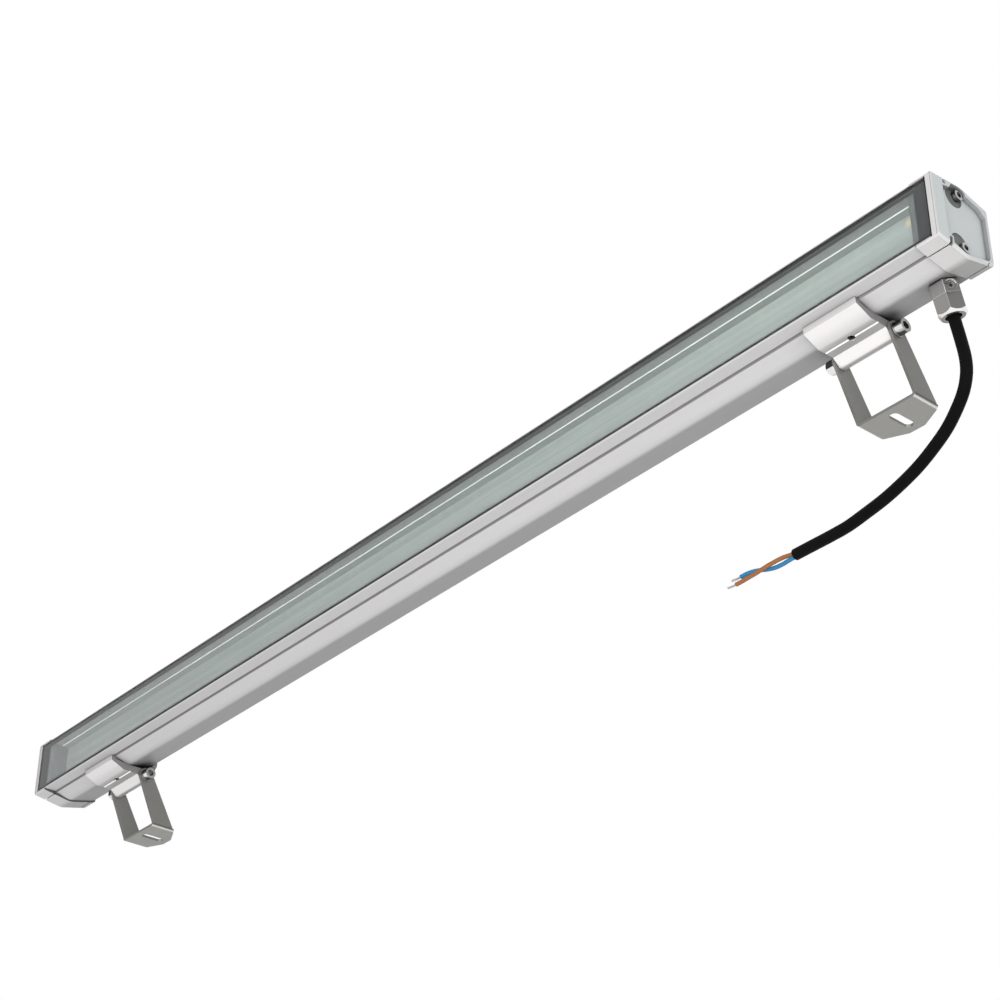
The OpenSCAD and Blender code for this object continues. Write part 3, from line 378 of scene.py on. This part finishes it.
def frosted_plate():
    """Frosted plate with soft streaks, painted shade towards its left end and lower edge, and the LEDs
    showing behind it as faint warm spots.
    """
    mat, nt, bsdf = new_tree("frosted_plate")
    grain = noise(nt, PLATE_GRAIN, PLATE_DETAIL)
    streak = noise(nt, PLATE_STREAKS, WIDE_DETAIL)
    base = blend_colours(nt, ramp(nt, streak, 0.0, 1.0, *PLATE_STREAK_RANGE), *PLATE_COLOURS)
    place = surface_place_split(nt)
    along = ramp(nt, place["X"], *PLATE_SHADE_ALONG, -PLATE_END_X * MM, PLATE_END_X * MM)
    low, high = PLATE_SHADE_HEIGHTS
    up = ramp(nt, place["Z"], *PLATE_SHADE_UP, (CENTRE_Z + low) * MM, (CENTRE_Z + high) * MM)
    reach = calculate(nt, "ABSOLUTE", place["X"])
    shifted = calculate(nt, "ADD", reach, (LED_PITCH / 2 - FIRST_SPOT_X) * MM)
    in_cell = calculate(nt, "FLOORED_MODULO", shifted, LED_PITCH * MM)
    off_x = calculate(nt, "SUBTRACT", in_cell, LED_PITCH * MM / 2)
    off_z = calculate(nt, "SUBTRACT", place["Z"], (CENTRE_Z + SPOT_HEIGHT) * MM)
    off = add_node(nt, "ShaderNodeCombineXYZ", {"X": off_x, "Z": off_z}).outputs["Vector"]
    radius = add_node(nt, "ShaderNodeVectorMath", {0: off}, operation="LENGTH").outputs["Value"]
    inner, outer = SPOT_RADII
    spot = ramp(nt, radius, 1.0, 0.0, inner * MM, outer * MM)
    start, stop = SPOTS_SHOW_X
    strength = ramp(nt, place["X"], *SPOT_STRENGTHS, start * MM, stop * MM)
    warm = blend_colours(nt, calculate(nt, "MULTIPLY", spot, strength), base, SPOT_COLOUR)
    nt.links.new(combined(nt, warm, calculate(nt, "MULTIPLY", along, up)), bsdf.inputs["Base Color"])
    nt.links.new(ramp(nt, grain, *PLATE_ROUGH), bsdf.inputs["Roughness"])
    bump(nt, bsdf, grain, PLATE_BUMP)
    return mat


# The glass has faint smears along X. GLASS_LIGHT is the tint of the light that it lets through.
GLASS_COLOURS = ((0.93, 0.975, 0.955), (0.96, 0.99, 0.98))
GLASS_ROUGH = (0.0, 0.05)
GLASS_SMEARS = (12, 60, 60)
GLASS_DETAIL = 5.0
GLASS_SMEAR_RANGE = (0.35, 0.75)
GLASS_IOR = 1.5
GLASS_LIGHT = (0.93, 0.96, 0.95, 1.0)


def clear_glass():
    """Clear glass that lets the light through to what is behind it."""
    mat, nt, bsdf = new_tree("clear_glass")
    smear = noise(nt, GLASS_SMEARS, GLASS_DETAIL)
    nt.links.new(ramp(nt, smear, *GLASS_ROUGH, *GLASS_SMEAR_RANGE), bsdf.inputs["Roughness"])
    nt.links.new(blend_colours(nt, smear, *GLASS_COLOURS), bsdf.inputs["Base Color"])
    bsdf.inputs["Transmission Weight"].default_value = 1.0
    bsdf.inputs["IOR"].default_value = GLASS_IOR
    path = add_node(nt, "ShaderNodeLightPath")
    clear = add_node(nt, "ShaderNodeBsdfTransparent", {"Color": GLASS_LIGHT})
    mixed = add_node(nt, "ShaderNodeMixShader", {0: path.outputs["Is Shadow Ray"], 1: bsdf.outputs[0],
                                                 2: clear.outputs[0]})
    nt.links.new(mixed.outputs[0], nt.nodes["Material Output"].inputs["Surface"])
    return mat


MATS = {name: surface(name, **look) for name, look in FINISHES.items()}
MATS["frosted_plate"] = frosted_plate()
MATS["clear_glass"] = clear_glass()

SLOT_OF = {row["node"]: row["material_slot"] for row in frame["record"]["subparts"]}
BODY_OF = {node: body for body, members in frame["record"]["behaviour"]["bodies"].items()
           for node in members}


def paint(obj, finish):
    obj.data.materials.clear()
    obj.data.materials.append(MATS[finish])


def settle(obj, slot, body):
    """Gives a new piece the finish of its slot, and the body that it moves with."""
    paint(obj, slot)
    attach(obj, body)


# Free cable, its two cores and their bare strands: diameters, steps along the curves, how finely the
# curves are rounded, and the routes of part.scad in metres

CABLE_D = 7.5
CORE_D = 2.8
STRAND_D = 1.6
CABLE_STEP = 3.0
CORE_STEP = 1.2
STRAND_STEP = 0.35
CABLE_ROUNDNESS = 8
CORE_ROUNDNESS = 5

CABLE_ROUTE = [
    (0.476, -0.02282, 0.0299), (0.476, -0.02114, 0.02363),
    (0.476, -0.019, 0.015), (0.476, -0.017, 0.004), (0.474, -0.015, -0.005), (0.469, -0.013, -0.014),
    (0.461, -0.011, -0.022), (0.451, -0.009, -0.0295), (0.439, -0.0075, -0.036),
    (0.426, -0.006, -0.0415), (0.412, -0.005, -0.046), (0.397, -0.004, -0.0495),
    (0.382, -0.0035, -0.052), (0.367, -0.003, -0.054), (0.353, -0.003, -0.0545),
    (0.339, -0.003, -0.0545), (0.324, -0.003, -0.0545)]
BROWN_ROUTE = [
    (0.324, -0.003, -0.053), (0.3205, -0.003, -0.053), (0.317, -0.0033, -0.0526),
    (0.3135, -0.0037, -0.0525), (0.31, -0.0041, -0.0527), (0.3065, -0.0044, -0.053),
    (0.303, -0.0047, -0.0533), (0.2995, -0.0048, -0.0537), (0.296, -0.0048, -0.054),
    (0.2925, -0.0046, -0.0542), (0.289, -0.0044, -0.0542), (0.2855, -0.0041, -0.0541),
    (0.282, -0.0037, -0.054), (0.278, -0.0035, -0.054), (0.274, -0.0035, -0.054)]
BLUE_ROUTE = [
    (0.324, -0.003, -0.056), (0.3205, -0.003, -0.056), (0.317, -0.0027, -0.056),
    (0.3135, -0.0023, -0.0559), (0.31, -0.002, -0.0557), (0.3065, -0.0018, -0.0553),
    (0.303, -0.0017, -0.0546), (0.2995, -0.0016, -0.0536), (0.296, -0.0016, -0.0524),
    (0.2925, -0.0018, -0.0512), (0.289, -0.0022, -0.0504), (0.286, -0.0026, -0.0501),
    (0.283, -0.003, -0.05), (0.2805, -0.003, -0.05), (0.278, -0.003, -0.05)]
BROWN_STRAND = [(0.274, -0.0035, -0.054), (0.2705, -0.0035, -0.054), (0.2665, -0.0035, -0.0534)]
BLUE_STRAND = [(0.278, -0.003, -0.05), (0.274, -0.003, -0.05), (0.27, -0.003, -0.0495)]

# A bare end has one wire in its middle, a ring of wires round it and an outer ring. The shares are of the
# bare end's radius. The twist is in radians for each point of the line.
INNER_WIRES = 4
OUTER_WIRES = 7
WIRE_SHARE = 0.24
INNER_RING_SHARE = 0.42
WIRE_TWIST = 0.16
WIRE_FLARE = 0.12
WIRE_SIDES = 6
# How far a wire's angle and the number of its last point vary
ANGLE_SPREAD = 0.1
END_SPREAD = 2


def smooth_route(points, step):
    """Points on a Catmull-Rom curve through the route's points, in metres, about step apart."""
    p = [Vector(q) for q in points]
    p = [2 * p[0] - p[1]] + p + [2 * p[-1] - p[-2]]
    out = []
    for a, b, c, d in zip(p, p[1:], p[2:], p[3:]):
        count = max(1, round((c - b).length / (step * MM)))
        for i in range(count):
            t = i / count
            out.append(0.5 * (2 * b + (c - a) * t + (2 * a - 5 * b + 4 * c - d) * t * t
                              + (3 * b - a - 3 * c + d) * t ** 3))
    return out + [p[-2]]


def tube(name, points, diameter, slot, node, roundness):
    """A round cord along the points, which replaces its CAD node."""
    data = bpy.data.curves.new(name, "CURVE")
    data.dimensions = "3D"
    data.bevel_depth = diameter / 2
    data.bevel_resolution = roundness
    data.use_fill_caps = True
    data.twist_mode = "MINIMUM"
    line = data.splines.new("POLY")
    line.points.add(len(points) - 1)
    for point, q in zip(line.points, points):
        point.co = (*q, 1.0)
    line.use_smooth = True
    obj = bpy.data.objects.new(name, data)
    put_in_scene(obj)
    settle(obj, slot, "lamp")
    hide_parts(node)
    return obj


def circle_point(middle, radius, angle, across, beside):
    return middle + radius * (math.cos(angle) * across + math.sin(angle) * beside)


def strands(name, route, node):
    """Bare end of a core: fine wires twisted round its middle."""
    line = smooth_route(route, STRAND_STEP)
    last_point = len(line) - 1
    reach = STRAND_D * MM / 2
    wire_r = reach * WIRE_SHARE
    inner_ring = (reach * INNER_RING_SHARE, INNER_WIRES)
    outer_ring = (reach - wire_r, OUTER_WIRES)
    wires = [(0.0, 1)] + [inner_ring] * INNER_WIRES + [outer_ring] * OUTER_WIRES
    bm = bmesh.new()
    for w, (ring, count) in enumerate(wires):
        phase = 2 * math.pi * w / count + random.uniform(-ANGLE_SPREAD, ANGLE_SPREAD)
        cut = last_point - random.randint(0, END_SPREAD)
        last = None
        for i in range(cut + 1):
            ahead = (line[min(i + 1, last_point)] - line[max(i - 1, 0)]).normalized()
            across = ahead.cross(Vector(Y)).normalized()
            beside = ahead.cross(across)
            flare = 1 + WIRE_FLARE * (i / last_point) ** 2
            middle = circle_point(line[i], ring * flare, phase + i * WIRE_TWIST, across, beside)
            loop = [bm.verts.new(circle_point(middle, wire_r, 2 * math.pi * k / WIRE_SIDES, across, beside))
                    for k in range(WIRE_SIDES)]
            if last:
                for k in range(WIRE_SIDES):
                    after = (k + 1) % WIRE_SIDES
                    bm.faces.new((last[k], last[after], loop[after], loop[k]))
            else:
                bm.faces.new(loop[::-1])
            last = loop
        bm.faces.new(last)
    bmesh.ops.recalc_face_normals(bm, faces=bm.faces)
    mesh = bpy.data.meshes.new(name)
    bm.to_mesh(mesh)
    bm.free()
    mesh.shade_smooth()
    obj = bpy.data.objects.new(name, mesh)
    put_in_scene(obj)
    settle(obj, "tinned_copper", "lamp")
    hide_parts(node)
    return obj


def make_cords():
    cable_line = smooth_route(CABLE_ROUTE, CABLE_STEP)
    brown_line = smooth_route(BROWN_ROUTE, CORE_STEP)
    blue_line = smooth_route(BLUE_ROUTE, CORE_STEP)
    cable = tube("supply_cable", cable_line, CABLE_D * MM, "black_rubber", "cable", CABLE_ROUNDNESS)
    brown = tube("brown_wire", brown_line, CORE_D * MM, "brown_core", "brown_core", CORE_ROUNDNESS)
    blue = tube("blue_wire", blue_line, CORE_D * MM, "blue_core", "blue_core", CORE_ROUNDNESS)
    brown_end = strands("brown_strands", BROWN_STRAND, "brown_strand")
    blue_end = strands("blue_strands", BLUE_STRAND, "blue_strand")


make_cords()


# Pieces dressed from their CAD nodes: the same solid with its edges rounded

# Points this close become one. Faces that meet under FLAT_ANGLE become one. Edges over ROUNDED_ANGLE get
# rounded, and those still over SHARP_ANGLE stay sharp in the shading. Angles are in degrees. FACE_WEIGHT
# is how far large faces lead in the shading of the rounded edges.
WELD_DISTANCE = 0.002
FLAT_ANGLE = 0.6
ROUNDED_ANGLE = 32.0
SHARP_ANGLE = 50
ROUNDING_STEPS = 2
FACE_WEIGHT = 80

# CAD node, name of the piece, width of its rounded edges
DRESSED = [
    ("housing_profile", "lamp_housing", 0.25),
    ("front_glass", "front_pane", 0.35),
    ("left_end_cap", "end_cap_left", 0.4),
    ("right_end_cap", "end_cap_right", 0.4),
    ("left_clip", "clip_left", 0.3),
    ("right_clip", "clip_right", 0.3),
    ("left_bracket", "bracket_left", 0.3),
    ("right_bracket", "bracket_right", 0.3),
    ("left_bolt", "bolt_left", 0.25),
    ("right_bolt", "bolt_right", 0.25),
    ("left_washers", "washers_left", 0.15),
    ("right_washers", "washers_right", 0.15),
    ("left_nut", "nut_left", 0.2),
    ("right_nut", "nut_right", 0.2),
    ("left_set_screw", "set_screw_left", 0.15),
    ("right_set_screw", "set_screw_right", 0.15),
    ("left_cap_screws", "cap_screws_left", 0.2),
    ("right_cap_screws", "cap_screws_right", 0.2),
    ("gland_body", "gland_collar", 0.35),
    ("gland_nut", "gland_cap_nut", 0.35),
    ("gland_oring", "gland_ring", 0.2),
    ("gland_lock_screw", "gland_screw", 0.15),
    ("optic_frame", "optic_rails", 0.2),
    ("left_baffle", "baffle_left", 0.3),
    ("right_baffle", "baffle_right", 0.3),
    ("glass_border", "printed_border", 0.02),
]


def apply_modifiers(obj):
    """Gives the object the mesh that its modifiers make of it."""
    solved = obj.evaluated_get(bpy.context.evaluated_depsgraph_get())
    mesh = bpy.data.meshes.new_from_object(solved)
    obj.modifiers.clear()
    obj.data = mesh


def dressed(node, name, width):
    """A copy of a node's mesh with rounded edges, which replaces the node."""
    bm = bmesh.new()
    bm.from_mesh(nodes[node].data)
    bmesh.ops.remove_doubles(bm, verts=bm.verts, dist=WELD_DISTANCE * MM)
    bmesh.ops.dissolve_limit(bm, angle_limit=math.radians(FLAT_ANGLE), verts=bm.verts, edges=bm.edges)
    bmesh.ops.recalc_face_normals(bm, faces=bm.faces)
    mesh = bpy.data.meshes.new(name)
    bm.to_mesh(mesh)
    bm.free()
    obj = bpy.data.objects.new(name, mesh)
    put_in_scene(obj)
    rounding = obj.modifiers.new("rounding", "BEVEL")
    rounding.width = width * MM
    rounding.segments = ROUNDING_STEPS
    rounding.limit_method = "ANGLE"
    rounding.angle_limit = math.radians(ROUNDED_ANGLE)
    rounding.use_clamp_overlap = True
    apply_modifiers(obj)
    obj.data.shade_smooth()
    obj.data.set_sharp_from_angle(angle=math.radians(SHARP_ANGLE))
    weighted = obj.modifiers.new("weighted", "WEIGHTED_NORMAL")
    weighted.keep_sharp = True
    weighted.weight = FACE_WEIGHT
    apply_modifiers(obj)
    settle(obj, SLOT_OF[node], BODY_OF[node])
    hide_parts(node)
    return obj


made = {name: dressed(node, name, width) for node, name, width in DRESSED}


# Second finishes, for the faces that a test of their middle, in millimetres, and their normal picks out.
# Most are painted light and shade: darker greys for the inside of the housing, its groove, the rails'
# level faces and the caps' recess walls, pocket floors and skirt edges, painted shading on the caps'
# chamfers, a painted highlight on the clips' V line and tones of their own for the end faces of the screws
# and bolts. The caps' end panels get a cooler grey paint.
# A face is square to an axis where its normal reaches more than SQUARE along it, beside it under BESIDE,
# and slanted between BESIDE and the two values for the cap's chamfer and the clip's V line.

SQUARE = 0.7
BESIDE = 0.3
CHAMFER_SLANT = 0.97
MARK_SLANT = 0.98

# The room behind the glass: its depth behind the glass front, the Y of its back and its half height
ROOM_DEPTH = 5
ROOM_BACK_Y = -38
ROOM_HALF = 21.7
# Depths behind the glass front and heights off the middle between which the groove's faces lie
GROOVE_DEPTHS = (9.3, 12.4)
GROOVE_HEIGHTS = (20.9, 22.7)
# Distances from the middle of the lamp to parts of an end cap
SKIRT_X = 490
CAP_X = 500
POCKET_X = 501.3
RECESS_XS = (501, 504.2)
CHAMFER_X = 503.3
# The clip's V line: its height, how far its faces reach from that, and the Y between which they lie
MARK_Z = 42.3
MARK_REACH = 0.7
MARK_YS = (-52, -28)


def inside_housing(centre, normal):
    in_depth = centre.y - FRONT_Y > ROOM_DEPTH and centre.y < ROOM_BACK_Y
    return in_depth and abs(centre.z - CENTRE_Z) < ROOM_HALF


def in_groove(centre, normal):
    near, far = GROOVE_DEPTHS
    low, high = GROOVE_HEIGHTS
    return near < centre.y - FRONT_Y < far and low < abs(centre.z - CENTRE_Z) < high


def level_face(centre, normal):
    return abs(normal.z) > SQUARE


def end_face(centre, normal):
    return abs(normal.x) > SQUARE


def end_panel(centre, normal):
    return end_face(centre, normal) and abs(centre.x) > CAP_X


def skirt_edge(centre, normal):
    return end_face(centre, normal) and abs(centre.x) < SKIRT_X


def pocket_floor(centre, normal):
    return end_face(centre, normal) and CAP_X < abs(centre.x) < POCKET_X


def recess_wall(centre, normal):
    start, stop = RECESS_XS
    return abs(normal.x) < BESIDE and start < abs(centre.x) < stop


def face_edge(centre, normal):
    return BESIDE < abs(normal.x) < CHAMFER_SLANT and abs(centre.x) > CHAMFER_X


def clip_line(centre, normal):
    front, back = MARK_YS
    slanted = BESIDE < abs(normal.y) < MARK_SLANT
    return slanted and abs(centre.z - MARK_Z) < MARK_REACH and front < centre.y < back


def second_finish(name, finish, chosen):
    """Gives a second finish to the faces of a piece for which chosen(centre, normal) holds."""
    mesh = made[name].data
    mesh.materials.append(MATS[finish])
    for face in mesh.polygons:
        if chosen(face.center / MM, face.normal):
            face.material_index = len(mesh.materials) - 1


second_finish("lamp_housing", "inner_shade", inside_housing)
second_finish("lamp_housing", "groove_shade", in_groove)
second_finish("optic_rails", "inner_shade", level_face)
for side in ("left", "right"):
    second_finish("end_cap_" + side, "cap_panel", end_panel)
    second_finish("end_cap_" + side, "cap_shade", skirt_edge)
    second_finish("end_cap_" + side, "cap_shade", pocket_floor)
    second_finish("end_cap_" + side, "cap_wall_shade", recess_wall)
    second_finish("end_cap_" + side, "cap_edge_shading", face_edge)
    second_finish("cap_screws_" + side, "lit_screw_face", end_face)
    second_finish("bolt_" + side, "shaded_bolt_face", end_face)
    second_finish("clip_" + side, "clip_line_highlight", clip_line)
    paint(made["set_screw_" + side], "dark_steel")
    paint(made["nut_" + side], "nut_steel")
    paint(made["baffle_" + side], "baffle_grey")
paint(made["gland_cap_nut"], "nickel_nut")

# The printed border's lower inner edge lies a little higher in the photograph than in the CAD model
BORDER_EDGE_HEIGHTS = (-20, -10)
BORDER_EDGE_RISE = 0.25


def raise_border_edge():
    low, high = BORDER_EDGE_HEIGHTS
    for vertex in made["printed_border"].data.vertices:
        if low < vertex.co.z / MM - CENTRE_Z < high:
            vertex.co.z += BORDER_EDGE_RISE * MM


raise_border_edge()

# The other CAD nodes keep their shapes and get the finish of their slot
CORD_NODES = {"cable", "brown_core", "blue_core", "brown_strand", "blue_strand"}
replaced = CORD_NODES | {node for node, _, _ in DRESSED}
for node, obj in nodes.items():
    if node not in replaced:
        paint(obj, SLOT_OF[node])


# Floor, light and background

FLOOR_REACH = 20.0
FLOOR_Z = -2.4
FLOOR_COLOURS = ((0.80, 0.80, 0.80), (0.84, 0.84, 0.84))
FLOOR_CLOUD = 2
FLOOR_DETAIL = 4.0
FLOOR_ROUGHNESS = 0.9
# What the camera, mirrors and glass see of the floor is this share of a plain pale colour and, for the
# rest, the lit floor with the object's shadow
BACKDROP_COLOUR = (0.96, 0.96, 0.96, 1.0)
BACKDROP_SHARE = 0.88

WORLD_COLOUR = (0.9, 0.95, 1.0, 1.0)
WORLD_STRENGTH = 0.12
WHITE = (1.0, 1.0, 1.0, 1.0)

# All lights face LIGHT_TARGET. Name, way from there to the light, distance, size and power
LIGHT_TARGET = (0, -0.04, 0.05)
LIGHTS = [
    ("key", (0.45, -0.75, -0.48), 3.0, (2.2, 1.6), 120),
    ("side", (1.0, -0.15, -0.1), 2.6, (1.4, 1.4), 28),
    ("top_back", (-0.35, 0.6, 0.75), 3.0, (2.4, 2.0), 110),
]


def background_ray(nt):
    """1 for rays that show the background: from the camera, mirrored or through glass."""
    path = add_node(nt, "ShaderNodeLightPath").outputs
    direct = calculate(nt, "MAXIMUM", path["Is Camera Ray"], path["Is Glossy Ray"])
    return calculate(nt, "MAXIMUM", direct, path["Is Transmission Ray"])


def make_floor():
    mesh = bpy.data.meshes.new("floor")
    corners = [(-1, -1), (1, -1), (1, 1), (-1, 1)]
    mesh.from_pydata([(x * FLOOR_REACH, y * FLOOR_REACH, FLOOR_Z) for x, y in corners], [], [(0, 1, 2, 3)])
    floor = bpy.data.objects.new("floor", mesh)
    put_in_scene(floor)
    mat, nt, bsdf = new_tree("floor")
    cloud = noise(nt, FLOOR_CLOUD, FLOOR_DETAIL)
    nt.links.new(blend_colours(nt, cloud, *FLOOR_COLOURS), bsdf.inputs["Base Color"])
    bsdf.inputs["Roughness"].default_value = FLOOR_ROUGHNESS
    pale = add_node(nt, "ShaderNodeEmission", {"Color": BACKDROP_COLOUR})
    share = calculate(nt, "MULTIPLY", background_ray(nt), BACKDROP_SHARE)
    mixed = add_node(nt, "ShaderNodeMixShader", {0: share, 1: bsdf.outputs[0], 2: pale.outputs[0]})
    nt.links.new(mixed.outputs[0], nt.nodes["Material Output"].inputs["Surface"])
    mesh.materials.append(mat)


def make_world():
    world = bpy.data.worlds.new("studio")
    bpy.context.scene.world = world
    world.use_nodes = True
    nt = world.node_tree
    nt.nodes.clear()
    soft = add_node(nt, "ShaderNodeBackground", {"Color": WORLD_COLOUR, "Strength": WORLD_STRENGTH})
    white = add_node(nt, "ShaderNodeBackground", {"Color": WHITE, "Strength": 1.0})
    mixed = add_node(nt, "ShaderNodeMixShader",
                     {0: background_ray(nt), 1: soft.outputs[0], 2: white.outputs[0]})
    out = add_node(nt, "ShaderNodeOutputWorld")
    nt.links.new(mixed.outputs[0], out.inputs["Surface"])


def area_light(name, direction, distance, size, power):
    """A soft light that faces the object. Neither the camera nor a mirror shows it."""
    data = bpy.data.lights.new(name, "AREA")
    data.shape = "RECTANGLE"
    data.size, data.size_y = size
    data.energy = power
    obj = bpy.data.objects.new(name, data)
    put_in_scene(obj)
    way = Vector(direction).normalized()
    obj.location = Vector(LIGHT_TARGET) + way * distance
    obj.rotation_mode = "QUATERNION"
    obj.rotation_quaternion = way.to_track_quat("Z", "Y")
    obj.visible_camera = False
    obj.visible_glossy = False


make_floor()
make_world()
for row in LIGHTS:
    area_light(*row)

bpy.context.scene.view_settings.view_transform = "Standard"
